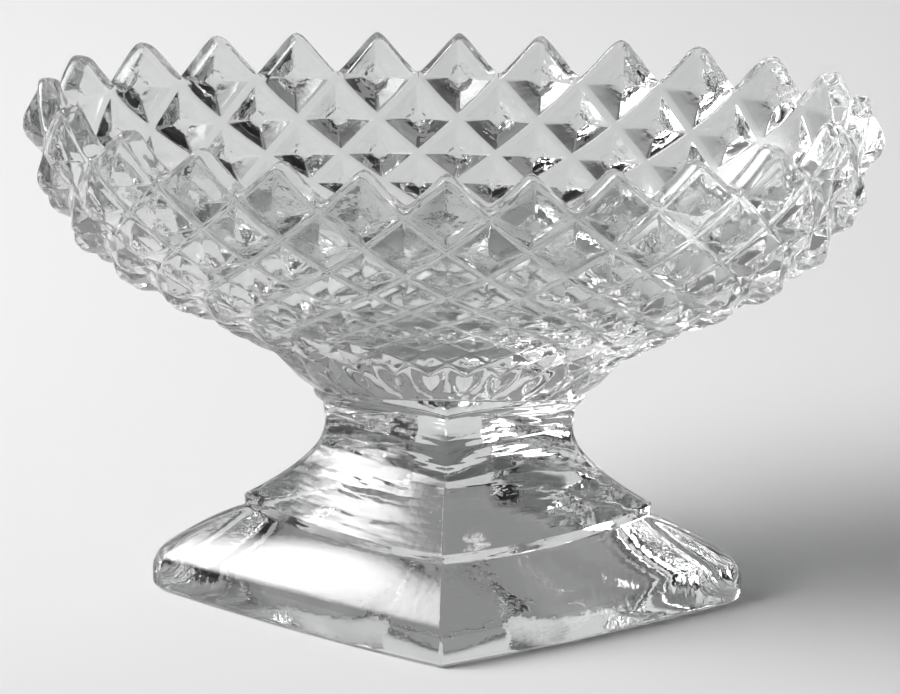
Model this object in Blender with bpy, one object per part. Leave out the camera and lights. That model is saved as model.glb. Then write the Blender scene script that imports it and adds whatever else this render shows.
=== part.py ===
"""Pressed-glass nut dish: an oval hobnail bowl on a flared lozenge stem and a lozenge plinth foot.

Units are metres and +Z is up. The origin lies on the table, under the middle of the foot.
The long axis of the bowl, the stem and the foot is X. The four gathers of glass are stacked
from the foot upwards, and each one takes its seat from the size of the one below it.
"""
import math

import bmesh
import bpy
from mathutils import Vector

# Clearance at each fused joint between two gathers of glass
FUSE_GAP = 0.0003

# Lozenge plinth foot
FOOT_HALF_LENGTH = 0.0334       # centre to the unrounded corner at each end
FOOT_HALF_WIDTH = 0.0204        # centre to the unrounded corner at front and back
FOOT_HEIGHT = 0.0092            # table to the seat of the stem
FOOT_EDGE_HEIGHT = 0.0036       # upright edge all round the foot
FOOT_END_RADIUS = 0.0024        # rounding of the acute corners in plan
FOOT_SIDE_RADIUS = 0.0006       # rounding of the obtuse corners in plan
FOOT_SIDE_BOW = 0.0005          # how far each side bows outwards
FOOT_CHAMFER = 0.0004           # fire-polished edge where the foot meets the table

# Flared lozenge stem with a skirt at its foot
SKIRT_HALF_LENGTH = 0.0224
SKIRT_HALF_WIDTH = 0.0152
SKIRT_EDGE_HEIGHT = 0.0011      # upright edge of the skirt
SKIRT_SIDE_BOW = 0.0016
SKIRT_OVERHANG = 0.0003         # how far the skirt stands out over its seat on the foot
NECK_HALF_LENGTH = 0.0141
NECK_HALF_WIDTH = 0.0080
NECK_HEIGHT = 0.0099            # skirt's underside to the narrowest section
STEM_HEIGHT = 0.0113            # skirt's underside to the wafer
STEM_END_RADIUS = 0.0012
STEM_SIDE_RADIUS = 0.0005
END_FLARE_POWER = 1.9           # how sharply the flare turns outwards at the ends
SIDE_FLARE_POWER = 2.6          # how sharply it does so at front and back

# Wafer of glass that joins the stem to the bowl
WAFER_HEIGHT = 0.0039           # in the middle
WAFER_END_HEIGHT = 0.0022       # under the two ends of the base of the bowl, which hang lower
WAFER_HALF_LENGTH = 0.0142      # at the stem
WAFER_HALF_WIDTH = 0.0082
WAFER_ROUNDNESS = 0.1           # 0 is a lozenge and 1 is an ellipse
CREASE_DEPTH = 0.0010           # how far the bowl overhangs the wafer all round

# Oval bowl, outside
BASE_HALF_LENGTH = 0.0144       # base, which overhangs the wafer at the crease
BASE_HALF_WIDTH = 0.0092
RIM_HALF_LENGTH = 0.0430        # through the tips of the rim points
RIM_HALF_WIDTH = 0.0224
BOWL_HEIGHT = 0.0300            # middle of the base to the rim points on the long sides
RIM_SADDLE = 0.0018             # how much higher the rim is at its ends
BELLY_REACH = 0.0084            # lower handle of the wall's curve at the ends, outwards
BELLY_LIFT = 0.0103             # lower handle of the wall's curve, upwards
WALL_UPRIGHT = 0.0230           # upper handle of the wall's curve, down from the rim
WALL_SWELL = 0.0008             # upper handle of the wall's curve at the ends, outwards from the rim
SIDE_TAPER = 0.0053             # upper handle of the wall's curve at the sides, inwards from the rim

# Hobs, cut as four-sided points in a diamond lattice
HOBS_ROUND = 24
HALF_ROWS = 11
LATTICE_SHARE = 0.89            # part of the wall's curve that the lattice covers
HOB_HEIGHT = 0.0024             # of a hob in the top row, above the wall
HOB_FADE = 1.5                  # how quickly the hobs grow flatter as they grow narrower
GROOVE_WIDTH = 0.0008           # flat band between neighbouring hobs

# Basin inside the bowl
RIM_THICKNESS = 0.0022
FLOOR_THICKNESS = 0.0028        # under the lowest point of the basin
BASIN_END_POWER = 1.35          # fullness of the basin along the dish
BASIN_SIDE_POWER = 1.2          # fullness of the basin across the dish

# Facets of the solids
CORNER_STEPS = 3
SIDE_STEPS = 4
FLARE_STEPS = 7
THROAT_STEPS = 3
BASIN_ROWS = 6
ARC_SAMPLES = 4000              # steps along the rim when its length is measured
NORMAL_PROBE = 0.001            # small step along the wall that finds its direction

GLASS_COLOUR = (0.93, 0.94, 0.94, 1.0)
GLASS_ROUGHNESS = 0.04
GLASS_IOR = 1.52


def lozenge_ring(half_length, half_width, end_radius, side_radius, bow, roundness, z):
    """An outline with rounded corners and bowed sides, anticlockwise, eased towards an ellipse."""
    end_turn = math.atan2(half_length, half_width)
    side_turn = math.pi / 2 - end_turn
    end_centre = half_length - end_radius / math.cos(end_turn)
    side_centre = half_width - side_radius / math.cos(side_turn)
    corners = [
        (Vector((end_centre, 0.0)), end_radius, end_turn),
        (Vector((0.0, side_centre)), side_radius, side_turn),
        (Vector((-end_centre, 0.0)), end_radius, end_turn),
        (Vector((0.0, -side_centre)), side_radius, side_turn),
    ]
    arcs = []
    for quarter, (centre, radius, turn) in enumerate(corners):
        facing = quarter * math.pi / 2
        angles = [facing - turn + 2 * turn * step / CORNER_STEPS for step in range(CORNER_STEPS + 1)]
        arcs.append([centre + radius * Vector((math.cos(a), math.sin(a))) for a in angles])
    outline = []
    for quarter, arc in enumerate(arcs):
        start = arc[-1]
        end = arcs[(quarter + 1) % 4][0]
        along = end - start
        outward = Vector((along.y, -along.x)).normalized()
        outline.extend(arc)
        for step in range(1, SIDE_STEPS):
            share = step / SIDE_STEPS
            outline.append(start + along * share + outward * (bow * 4 * share * (1 - share)))
    ring = []
    for point in outline:
        angle = math.atan2(point.y / half_width, point.x / half_length)
        oval = Vector((half_length * math.cos(angle), half_width * math.sin(angle)))
        eased = point.lerp(oval, roundness)
        ring.append(Vector((eased.x, eased.y, z)))
    return ring


def inset(half_length, half_width, distance):
    """Half diagonals of a lozenge whose sides lie that distance further in."""
    side_distance = half_length * half_width / math.hypot(half_length, half_width)
    share = 1 - distance / side_distance
    return half_length * share, half_width * share


def skin(mesh, lower, upper):
    """Quads between two matching closed rows of vertices, facing outwards when upper is above."""
    count = len(lower)
    for here in range(count):
        ahead = (here + 1) % count
        mesh.faces.new((lower[here], lower[ahead], upper[ahead], upper[here]))


def cap(mesh, ring, mirror, upwards):
    """Strips across a closed row, between the places that mirror each other from front to back.

    The row runs anticlockwise, and a place and the one it mirrors add up to the number given.
    """
    count = len(ring)
    near = mirror // 2
    far = mirror - near
    for step in range(count // 2):
        places = (near - step, far + step, far + step + 1, near - step - 1)
        corners = list(dict.fromkeys(ring[place % count] for place in places))
        if len(corners) > 2:
            mesh.faces.new(corners if upwards else list(reversed(corners)))


def lofted_mesh(rings):
    """A closed skin over a stack of lozenge outlines, bottom to top."""
    mesh = bmesh.new()
    rows = [[mesh.verts.new(point) for point in ring] for ring in rings]
    for lower, upper in zip(rows, rows[1:]):
        skin(mesh, lower, upper)
    cap(mesh, rows[0], CORNER_STEPS, upwards=False)
    cap(mesh, rows[-1], CORNER_STEPS, upwards=True)
    return mesh


def foot_mesh():
    """Lozenge plinth: a chamfered underside, an upright edge and four slopes up to the stem."""
    def outline(distance, z):
        length, width = inset(FOOT_HALF_LENGTH, FOOT_HALF_WIDTH, distance)
        return lozenge_ring(length, width, FOOT_END_RADIUS, FOOT_SIDE_RADIUS, FOOT_SIDE_BOW, 0.0, z)

    seat_length, seat_width = inset(SKIRT_HALF_LENGTH, SKIRT_HALF_WIDTH, SKIRT_OVERHANG)
    return lofted_mesh([
        outline(FOOT_CHAMFER, 0.0),
        outline(0.0, FOOT_CHAMFER),
        outline(0.0, FOOT_EDGE_HEIGHT),
        lozenge_ring(seat_length, seat_width, STEM_END_RADIUS, STEM_SIDE_RADIUS, SKIRT_SIDE_BOW,
                     0.0, FOOT_HEIGHT),
    ])


def stem_mesh():
    """Skirt edge, concave flare up to the neck, then a throat that opens out to the wafer."""
    def section(length, width, bow, roundness, z):
        return lozenge_ring(length, width, STEM_END_RADIUS, STEM_SIDE_RADIUS, bow, roundness, z)

    rings = [section(SKIRT_HALF_LENGTH, SKIRT_HALF_WIDTH, SKIRT_SIDE_BOW, 0.0, 0.0)]
    for step in range(FLARE_STEPS + 1):
        rise = step / FLARE_STEPS
        spread = (1 - rise) ** END_FLARE_POWER
        side_spread = (1 - rise) ** SIDE_FLARE_POWER
        length = NECK_HALF_LENGTH + (SKIRT_HALF_LENGTH - NECK_HALF_LENGTH) * spread
        width = NECK_HALF_WIDTH + (SKIRT_HALF_WIDTH - NECK_HALF_WIDTH) * side_spread
        z = SKIRT_EDGE_HEIGHT + (NECK_HEIGHT - SKIRT_EDGE_HEIGHT) * rise
        rings.append(section(length, width, SKIRT_SIDE_BOW * spread, 0.0, z))
    for step in range(1, THROAT_STEPS + 1):
        rise = step / THROAT_STEPS
        length = NECK_HALF_LENGTH + (WAFER_HALF_LENGTH - NECK_HALF_LENGTH) * rise ** 2
        width = NECK_HALF_WIDTH + (WAFER_HALF_WIDTH - NECK_HALF_WIDTH) * rise ** 2
        z = NECK_HEIGHT + (STEM_HEIGHT - NECK_HEIGHT) * rise
        rings.append(section(length, width, 0.0, WAFER_ROUNDNESS * rise, z))
    return lofted_mesh(rings)


def seat_drop(x):
    """How far the bowl's seat on the wafer lies below its middle, that far along the dish."""
    return (WAFER_HEIGHT - WAFER_END_HEIGHT) * (x / BASE_HALF_LENGTH) ** 2


def wafer_mesh():
    """Collar that turns the stem's eased lozenge into the oval base of the bowl."""
    stem_joint = lozenge_ring(WAFER_HALF_LENGTH, WAFER_HALF_WIDTH, STEM_END_RADIUS, STEM_SIDE_RADIUS,
                              0.0, WAFER_ROUNDNESS, 0.0)
    bowl_joint = lozenge_ring(BASE_HALF_LENGTH - CREASE_DEPTH, BASE_HALF_WIDTH - CREASE_DEPTH,
                              STEM_END_RADIUS, STEM_SIDE_RADIUS, 0.0, 1.0, WAFER_HEIGHT)
    for point in bowl_joint:
        point.z -= seat_drop(point.x)
    return lofted_mesh([stem_joint, bowl_joint])


def column_angles():
    """Angles on the rim's ellipse, from the front, that space the half hobs evenly along it."""
    lengths = [0.0]
    before = Vector((0.0, -RIM_HALF_WIDTH))
    for sample in range(1, ARC_SAMPLES + 1):
        angle = 2 * math.pi * sample / ARC_SAMPLES
        point = Vector((RIM_HALF_LENGTH * math.sin(angle), -RIM_HALF_WIDTH * math.cos(angle)))
        lengths.append(lengths[-1] + (point - before).length)
        before = point
    angles = []
    sample = 0
    for column in range(2 * HOBS_ROUND):
        target = lengths[-1] * column / (2 * HOBS_ROUND)
        while lengths[sample + 1] < target:
            sample += 1
        share = (target - lengths[sample]) / (lengths[sample + 1] - lengths[sample])
        angles.append(2 * math.pi * (sample + share) / ARC_SAMPLES)
    return angles


def bezier(start, start_handle, end_handle, end, share):
    """One coordinate of a cubic curve."""
    rest = 1 - share
    return (rest ** 3 * start + 3 * rest ** 2 * share * start_handle
            + 3 * rest * share ** 2 * end_handle + share ** 3 * end)


def wall_point(angle, share):
    """A point of the bowl's outer wall, from the base (share 0) to the rim (share 1)."""
    length = bezier(BASE_HALF_LENGTH, BASE_HALF_LENGTH + BELLY_REACH, RIM_HALF_LENGTH + WALL_SWELL,
                    RIM_HALF_LENGTH, share)
    width = bezier(BASE_HALF_WIDTH, BASE_HALF_WIDTH, RIM_HALF_WIDTH - SIDE_TAPER, RIM_HALF_WIDTH,
                   share)
    height = bezier(0.0, BELLY_LIFT, BOWL_HEIGHT - WALL_UPRIGHT, BOWL_HEIGHT, share)
    saddle = RIM_SADDLE * share ** 2 * math.sin(angle) ** 2
    sag = seat_drop(BASE_HALF_LENGTH * math.sin(angle)) * (1 - share) ** 2
    return Vector((length * math.sin(angle), -width * math.cos(angle), height + saddle - sag))


def wall_normal(angle, share):
    """Outward direction of the bowl's outer wall."""
    step = NORMAL_PROBE
    round_the_bowl = wall_point(angle + step, share) - wall_point(angle - step, share)
    up_the_wall = wall_point(angle, share + step) - wall_point(angle, share - step)
    return round_the_bowl.cross(up_the_wall).normalized()


def basin_point(angle, depth):
    """A point of the smooth basin, from the rim (depth 0) to the floor (depth 1)."""
    length = (RIM_HALF_LENGTH - RIM_THICKNESS) * math.sqrt(max(0.0, 1 - depth ** BASIN_END_POWER))
    width = (RIM_HALF_WIDTH - RIM_THICKNESS) * math.sqrt(max(0.0, 1 - depth ** BASIN_SIDE_POWER))
    rim = BOWL_HEIGHT + RIM_SADDLE * math.sin(angle) ** 2
    height = FLOOR_THICKNESS + (rim - FLOOR_THICKNESS) * (1 - depth)
    return Vector((length * math.sin(angle), -width * math.cos(angle), height))


def bowl_mesh():
    """Hobnail wall outside, smooth basin inside, and a rim that runs in points between them."""
    angles = column_angles()
    columns = range(2 * HOBS_ROUND)
    row_share = LATTICE_SHARE / HALF_ROWS
    mesh = bmesh.new()

    # Crossings of the grooves lie where column and row are both even or both odd
    crossings = {}
    for row in range(HALF_ROWS + 1):
        for column in columns:
            if (column + row) % 2 == 0:
                crossings[column, row] = mesh.verts.new(wall_point(angles[column], 1 - row * row_share))

    # Each hob is a diamond between four crossings, with a flat groove round its four facets
    rim_cell = (wall_point(angles[1], 1 - row_share) - wall_point(angles[-1], 1 - row_share)).length
    for row in range(1, HALF_ROWS):
        for column in columns:
            if (column + row) % 2 == 0:
                continue
            left = crossings[(column - 1) % len(columns), row]
            right = crossings[(column + 1) % len(columns), row]
            hob = mesh.faces.new((left, crossings[column, row + 1], right, crossings[column, row - 1]))
            cell = (right.co - left.co).length
            hob.normal_update()
            bmesh.ops.inset_individual(mesh, faces=[hob], thickness=GROOVE_WIDTH / 2,
                                       use_even_offset=True)
            peak = bmesh.ops.poke(mesh, faces=[hob])["verts"][0]
            share = 1 - row * row_share
            lift = HOB_HEIGHT * (cell / rim_cell) ** HOB_FADE
            peak.co = wall_point(angles[column], share) + lift * wall_normal(angles[column], share)

    # Smooth band under the hobs, down to the base
    last = HALF_ROWS
    hem = [crossings[column, last if (column + last) % 2 == 0 else last - 1] for column in columns]
    band = [mesh.verts.new(wall_point(angle, (1 - LATTICE_SHARE) / 2)) for angle in angles]
    base = [mesh.verts.new(wall_point(angle, 0.0)) for angle in angles]
    skin(mesh, band, hem)
    skin(mesh, base, band)
    cap(mesh, base, HOBS_ROUND, upwards=False)

    # Rim band, then the basin down to one point on its floor
    edge = [crossings[column, column % 2] for column in columns]
    lip = []
    for column in columns:
        tip = wall_point(angles[column], 1.0).z
        drop = tip - edge[column].co.z
        lip.append(mesh.verts.new(basin_point(angles[column], drop / (tip - FLOOR_THICKNESS))))
    skin(mesh, edge, lip)
    lip_drop = RIM_SADDLE + BOWL_HEIGHT - wall_point(0.0, 1 - 2 * row_share).z
    first_depth = lip_drop / (BOWL_HEIGHT - FLOOR_THICKNESS)
    above = lip
    for row in range(BASIN_ROWS):
        depth = first_depth + (1 - first_depth) * row / BASIN_ROWS
        ring = [mesh.verts.new(basin_point(angle, depth)) for angle in angles]
        skin(mesh, above, ring)
        above = ring
    floor = mesh.verts.new(basin_point(0.0, 1.0))
    for column in columns:
        mesh.faces.new((above[column], above[(column + 1) % len(columns)], floor))
    return mesh


def glass(name):
    """Clear colourless pressed glass."""
    material = bpy.data.materials.new(name)
    material.use_nodes = True
    shader = material.node_tree.nodes["Principled BSDF"]
    shader.inputs["Base Color"].default_value = GLASS_COLOUR
    shader.inputs["Metallic"].default_value = 0.0
    shader.inputs["Roughness"].default_value = GLASS_ROUGHNESS
    shader.inputs["IOR"].default_value = GLASS_IOR
    shader.inputs["Transmission Weight"].default_value = 1.0
    return material


def add_part(name, mesh, z, parent, collection):
    """A named glass object from a finished mesh, standing at height z."""
    data = bpy.data.meshes.new(name)
    bmesh.ops.triangulate(mesh, faces=list(mesh.faces))
    mesh.to_mesh(data)
    mesh.free()
    part = bpy.data.objects.new(name, data)
    part.location.z = z
    part.parent = parent
    data.materials.append(glass(name + "_glass"))
    collection.objects.link(part)


def main():
    for old in list(bpy.data.objects):
        bpy.data.objects.remove(old, do_unlink=True)
    collection = bpy.data.collections.new("nut_dish")
    bpy.context.scene.collection.children.link(collection)
    stand = bpy.data.objects.new("nut_dish_origin", None)
    collection.objects.link(stand)

    stem_z = FOOT_HEIGHT + FUSE_GAP
    wafer_z = stem_z + STEM_HEIGHT + FUSE_GAP
    bowl_z = wafer_z + WAFER_HEIGHT + FUSE_GAP
    add_part("foot", foot_mesh(), 0.0, stand, collection)
    add_part("stem", stem_mesh(), stem_z, stand, collection)
    add_part("wafer", wafer_mesh(), wafer_z, stand, collection)
    add_part("bowl", bowl_mesh(), bowl_z, stand, collection)


main()
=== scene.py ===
"""Looks of the pressed-glass nut dish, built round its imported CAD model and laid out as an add-on.

Four gathers of clear glass stand on each other: a lozenge foot, a flared stem, a wafer and an oval
hobnail bowl. Each one is modelled as a closed body of glass that meets its neighbours face to face,
and the faces where two gathers fused let light straight through, as in the real dish.
"""
import math

import bmesh
import bpy
import numpy as np
from bpy.props import FloatProperty, FloatVectorProperty, IntProperty, PointerProperty
from mathutils import Matrix, Vector


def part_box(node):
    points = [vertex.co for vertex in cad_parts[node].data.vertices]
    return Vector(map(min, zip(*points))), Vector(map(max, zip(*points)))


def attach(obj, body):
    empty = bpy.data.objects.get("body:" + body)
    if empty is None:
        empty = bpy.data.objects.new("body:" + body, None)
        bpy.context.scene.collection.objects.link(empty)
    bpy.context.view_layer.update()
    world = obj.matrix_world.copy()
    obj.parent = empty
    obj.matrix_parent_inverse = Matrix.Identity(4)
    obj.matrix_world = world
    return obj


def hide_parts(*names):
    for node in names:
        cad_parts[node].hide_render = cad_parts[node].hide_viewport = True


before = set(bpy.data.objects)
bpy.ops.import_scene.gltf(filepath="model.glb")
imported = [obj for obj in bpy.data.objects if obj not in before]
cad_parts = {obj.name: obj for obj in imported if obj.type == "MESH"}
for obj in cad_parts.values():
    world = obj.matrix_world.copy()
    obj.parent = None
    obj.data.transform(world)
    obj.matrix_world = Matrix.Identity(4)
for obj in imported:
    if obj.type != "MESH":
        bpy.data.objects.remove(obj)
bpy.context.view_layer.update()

bl_info = {
    "name": "Pressed-glass nut dish",
    "version": (1, 0, 0),
    "blender": (4, 5, 0),
    "location": "View3D > Sidebar > Nut dish",
    "description": "Builds the footed hobnail dish, its clear glass and a plain studio",
    "category": "Object",
}

BODY = "root"

# Mesh attribute: how high a point of a hob stands, as a share of the hob's full height
RISE = "rise"

# Places of the two materials in each piece
GLASS_INDEX = 0
FUSED_INDEX = 1

# Heights at which each gather of glass fuses to the one above it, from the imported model
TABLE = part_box("foot")[0].z
STEM_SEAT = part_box("stem")[0].z
WAFER_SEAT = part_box("wafer")[0].z
BOWL_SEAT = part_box("wafer")[1].z + WAFER_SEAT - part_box("stem")[1].z

# Fineness of the meshes
CORNER_STEPS = 8
SIDE_STEPS = 16
EDGE_STEPS = 8
FLARE_STEPS = 28
THROAT_STEPS = 8
WAFER_STEPS = 16
BEAD_STEPS = 6
RIM_CUTS = 4
BASIN_ROWS = 20
BAND_ROWS = 16
FLOOR_SEGMENTS = 96
ARC_SAMPLES = 4000
WELD = 1e-6

# Edges sharper than this stay sharp
LOFT_CREASE = math.radians(40)
HOB_CREASE = math.radians(60)

# Facets of a hob, rings of vertices on its point, and how closely its flat lattice is welded
FACETS = 4
POINT_RINGS = (0.13, 0.26)
LATTICE_WELD = 0.0001

# Shares of a hob's height between which the cold mould begins to wrinkle it, in the mesh
CHILL_START = 0.50
CHILL_FULL = 0.72
CHILL_SEED = 7.0

# Share of a hob's height at which the finer wrinkles in the material are deepest
WRINKLE_LEVEL = 0.75
NOISE_DETAIL = 1.5
NOISE_ROUGHNESS = 0.5

# Matt paper
PAPER_ROUGHNESS = 0.9
PAPER_GLOSS = 0.2

# The studio wall lies this way, and is lit where the dot product with it goes from start to full
WALL_DIRECTION = (0.0, 1.0, 0.2)
WALL_START = 0.30
WALL_FULL = 0.85

# Middle of the softbox's cloth, and its edge as a distance from there
CLOTH_MIDDLE = (0.5, 0.5, 0.0)
CLOTH_EDGE = 0.5

# Light passes many glass faces before it leaves the dish
GLASS_BOUNCES = 32
MIRROR_BOUNCES = 16

# Camera, in millimetres and metres
PICTURE_WIDTH = 36.0
NEAREST_SEEN = 0.01
FARTHEST_SEEN = 10.0


def srgb(code):
    """Linear colour from an sRGB hex code."""
    channels = [int(code[place:place + 2], 16) / 255 for place in (1, 3, 5)]
    return tuple(c / 12.92 if c <= 0.04045 else ((c + 0.055) / 1.055) ** 2.4 for c in channels)


def length(name, description, default):
    """A size in metres that a user may change."""
    return FloatProperty(name=name, description=description, default=default, min=0.0,
                         subtype="DISTANCE", unit="LENGTH", precision=5)


def share(name, description, default, highest=1.0):
    """A plain number that a user may change."""
    return FloatProperty(name=name, description=description, default=default, min=0.0,
                         max=highest, subtype="FACTOR", precision=3)


def turn(name, description, default):
    """An angle that a user may change, given here in degrees."""
    return FloatProperty(name=name, description=description, default=math.radians(default),
                         subtype="ANGLE", unit="ROTATION")


def colour(name, description, code):
    """A colour that a user may change, given here as an sRGB hex code."""
    return FloatVectorProperty(name=name, description=description, default=srgb(code), size=3,
                               min=0.0, max=1.0, subtype="COLOR")


class FootSizes(bpy.types.PropertyGroup):
    half_length: length("Half length", "Centre to the unrounded corner at each end", 0.0334)
    half_width: length("Half width", "Centre to the unrounded corner at front and back", 0.0204)
    edge_height: length("Edge height", "Table to the top of the upright edge", 0.0036)
    end_radius: length("End radius", "Rounding of the acute corners in plan", 0.0024)
    side_radius: length("Side radius", "Rounding of the obtuse corners in plan", 0.0006)
    side_bow: length("Side bow", "How far each side bows outwards", 0.0007)
    shoulder: length("Shoulder", "How far the rounding of the upper edge reaches", 0.0016)
    polish: length("Polish", "How far the rounding of the lower edge reaches", 0.0008)
    dome: length("Dome", "How far the slopes swell above a straight line", 0.0006)


class StemSizes(bpy.types.PropertyGroup):
    skirt_half_length: length("Skirt half length", "Centre to the skirt's end corner", 0.0224)
    skirt_half_width: length("Skirt half width", "Centre to the skirt's front corner", 0.0152)
    skirt_edge: length("Skirt edge", "Height of the skirt's upright edge", 0.0011)
    skirt_bow: length("Skirt bow", "How far the skirt's sides bow outwards", 0.0016)
    overhang: length("Overhang", "How far the skirt stands out over its seat", 0.0003)
    neck_half_length: length("Neck half length", "Centre to the end corner of the neck", 0.0141)
    neck_half_width: length("Neck half width", "Centre to the front corner of the neck", 0.0088)
    neck_height: length("Neck height", "Skirt's underside to the narrowest section at the ends", 0.0099)
    side_neck_height: length("Side neck height", "The same, at front and back", 0.0070)
    end_radius: length("End radius", "Rounding of the acute corners", 0.0012)
    side_radius: length("Side radius", "Rounding of the obtuse corners", 0.0005)
    flare_power: share("Flare power", "How sharply the flare turns outwards at the ends", 1.9, 6.0)
    side_softness: share("Side softness", "Rounding between slope and neck at front and back", 0.15)


class WaferSizes(bpy.types.PropertyGroup):
    half_length: length("Half length", "Centre to the end, where it meets the stem", 0.0142)
    half_width: length("Half width", "Centre to the side, where it meets the stem", 0.0088)
    roundness: share("Roundness", "Shape at the stem, from a lozenge to an ellipse", 0.1)
    collar: length("Collar", "Height of the rounded collar under the bowl", 0.0021)
    bulge: length("Bulge", "How far the collar stands out", 0.0006)
    crease: length("Crease", "How far the rolled edge of the bowl overhangs the wafer", 0.0004)


class BowlSizes(bpy.types.PropertyGroup):
    base_half_length: length("Base half length", "Centre to the end of the base", 0.0144)
    base_half_width: length("Base half width", "Centre to the side of the base", 0.0092)
    sag: length("Sag", "How much lower the base hangs at its ends", 0.0017)
    rim_half_length: length("Rim half length", "Centre to the rim at its ends", 0.0430)
    rim_half_width: length("Rim half width", "Centre to the rim at its sides", 0.0224)
    height: length("Height", "Base to the rim points on the long sides", 0.0300)
    saddle: length("Saddle", "How much higher the rim is at its ends", 0.0018)
    belly_reach: length("Belly reach", "Lower handle of the wall's curve at the ends, outwards", 0.0084)
    belly_lift: length("Belly lift", "Lower handle of the wall's curve, upwards", 0.0103)
    upright: length("Upright", "Upper handle of the wall's curve, down from the rim", 0.0230)
    swell: length("Swell", "Upper handle of the wall's curve at the ends, outwards", 0.0008)
    side_taper: length("Side taper", "Upper handle of the wall's curve at the sides, inwards", 0.0053)
    rim_thickness: length("Rim thickness", "Wall at the rim", 0.0022)
    bead: length("Bead", "Height of the fire-polished crown along the rim", 0.0005)
    floor_thickness: length("Floor thickness", "Glass under the lowest point of the basin", 0.0028)
    basin_end_power: share("Basin end power", "Fullness of the basin along the dish", 2.0, 4.0)
    basin_side_power: share("Basin side power", "Fullness of the basin across the dish", 1.2, 4.0)
    band_swell: length("Band swell", "How far the smooth band under the hobs stands out", 0.0005)
    hobs_round: IntProperty(name="Hobs round", description="Hobs in each row", default=24, min=6)
    half_rows: IntProperty(name="Half rows", description="Half rows of hobs", default=11, min=3)
    lattice_share: share("Lattice share", "Part of the wall that the hobs cover", 0.89)
    hob_height: length("Hob height", "A hob of the top row, if its point were sharp", 0.0024)
    hob_fade: share("Hob fade", "How quickly the hobs grow flatter as they grow narrower", 1.5, 3.0)
    groove: share("Groove", "Part of a hob's half width that is flat groove", 0.115)
    ridge: share("Ridge", "Part of a facet's half width that is rounded ridge", 0.16)
    fillet: share("Fillet", "Softness of the foot of a hob", 0.035)
    blunt: share("Blunt", "Height at which fire polish stops a hob's point", 0.78)
    cap: share("Cap", "Softness of the blunted point", 0.18)
    chill: share("Chill", "Roughness left on the points by the cold mould", 0.10)
    chill_size: length("Chill size", "Width of one coarse wrinkle, in the mesh", 0.0009)
    tip_round: share("Tip rounding", "Rounding of the rim's points, in half rows", 0.13)
    dip_round: share("Dip rounding", "Rounding between the rim's points, in half rows", 0.08)


class GlassLook(bpy.types.PropertyGroup):
    tint: colour("Tint", "Colour of the clear glass", "#E4E5E5")
    ior: share("IOR", "Refractive index of soda-lime glass", 1.52, 2.0)
    roughness: share("Roughness", "Roughness of the fire-polished surface", 0.0)
    ripple_size: length("Ripple size", "Width of one fine ripple from the mould", 0.0008)
    ripple_depth: length("Ripple depth", "Depth of the fine ripples", 0.000012)
    wrinkle_size: length("Wrinkle size", "Width of one wrinkle on a hob's point", 0.0008)
    wrinkle_depth: length("Wrinkle depth", "Depth of the wrinkles on the hobs' points", 0.0003)
    wrinkle_focus: share("Wrinkle focus", "How closely the wrinkles keep to the points", 5.0, 9.0)
    wave_size: length("Wave size", "Width of one broad wave of the surface", 0.0035)
    wave_depth: length("Wave depth", "Depth of the broad waves", 0.00002)
    streak_size: length("Streak size", "Height of one level streak on the stem", 0.0010)
    streak_length: length("Streak length", "Length of one level streak on the stem", 0.006)
    streak_depth: length("Streak depth", "Depth of the streaks on the stem", 0.00015)


class StudioLook(bpy.types.PropertyGroup):
    # The floor's own tone is the pale paper. The edge tone, the middle and the radius paint a pool of
    # light on it, with painted shade far from the dish in place of the lamp's falloff.
    paper: colour("Paper", "Colour of the floor where the dish stands", "#E9E9E9")
    paper_painted_shade: colour("Paper edge", "Colour of the floor far from the dish", "#8A8A8A")
    painted_light_middle: FloatVectorProperty(name="Paper middle", description="Middle of the pale part",
                                      default=(-0.05, 0.15, 0.0), size=3, subtype="XYZ")
    painted_shade_radius: length("Dark radius", "Middle to where the paper is darkest", 0.62)
    floor_radius: length("Floor radius", "Centre to the edge of the floor", 2.5)
    floor_gap: length("Floor gap", "Film of air under the foot", 0.00005)
    wall_tone: colour("Wall tone", "Studio wall behind the dish", "#A0A0A0")
    dusk_tone: colour("Dusk tone", "Unlit part of the studio", "#272727")
    key_place: FloatVectorProperty(name="Key place", description="Middle of the key softbox",
                                   default=(-1.117, -0.258, 0.803), size=3, subtype="XYZ")
    key_size: length("Key size", "Side of the key softbox", 1.4)
    key_core: share("Key core", "Evenly lit part of the softbox, which fades to its edges", 0.2)
    key_watts: FloatProperty(name="Key watts", description="Power of the key softbox",
                             default=120.0, min=0.0, subtype="POWER")
    azimuth: turn("Azimuth", "Turn of the camera to the right of the front", 1.4)
    elevation: turn("Elevation", "Height of the camera above the horizon", 21.86)
    roll: turn("Roll", "Tilt of the camera", 0.8)
    distance: length("Distance", "Camera to the point that it looks at", 0.8376)
    aim: length("Aim", "Height of the point that the camera looks at", 0.02786)
    lens: FloatProperty(name="Lens", description="Focal length for a 36 mm wide picture",
                        default=320.0, min=1.0, subtype="DISTANCE_CAMERA", unit="CAMERA")


class DishSettings(bpy.types.PropertyGroup):
    foot: PointerProperty(type=FootSizes, name="Foot", description="Sizes of the foot")
    stem: PointerProperty(type=StemSizes, name="Stem", description="Sizes of the stem")
    wafer: PointerProperty(type=WaferSizes, name="Wafer", description="Sizes of the wafer")
    bowl: PointerProperty(type=BowlSizes, name="Bowl", description="Sizes of the bowl")
    glass: PointerProperty(type=GlassLook, name="Glass", description="Finish of the glass")
    studio: PointerProperty(type=StudioLook, name="Studio", description="Floor, light and camera")


def add_node(tree, kind, settings=None, links=None):
    """Adds a node with its settings, and feeds its inputs from other sockets or plain values."""
    node = tree.nodes.new(kind)
    for name, value in (settings or {}).items():
        setattr(node, name, value)
    for place, source in (links or {}).items():
        if isinstance(source, bpy.types.NodeSocket):
            tree.links.new(source, node.inputs[place])
        else:
            node.inputs[place].default_value = source
    return node


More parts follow.
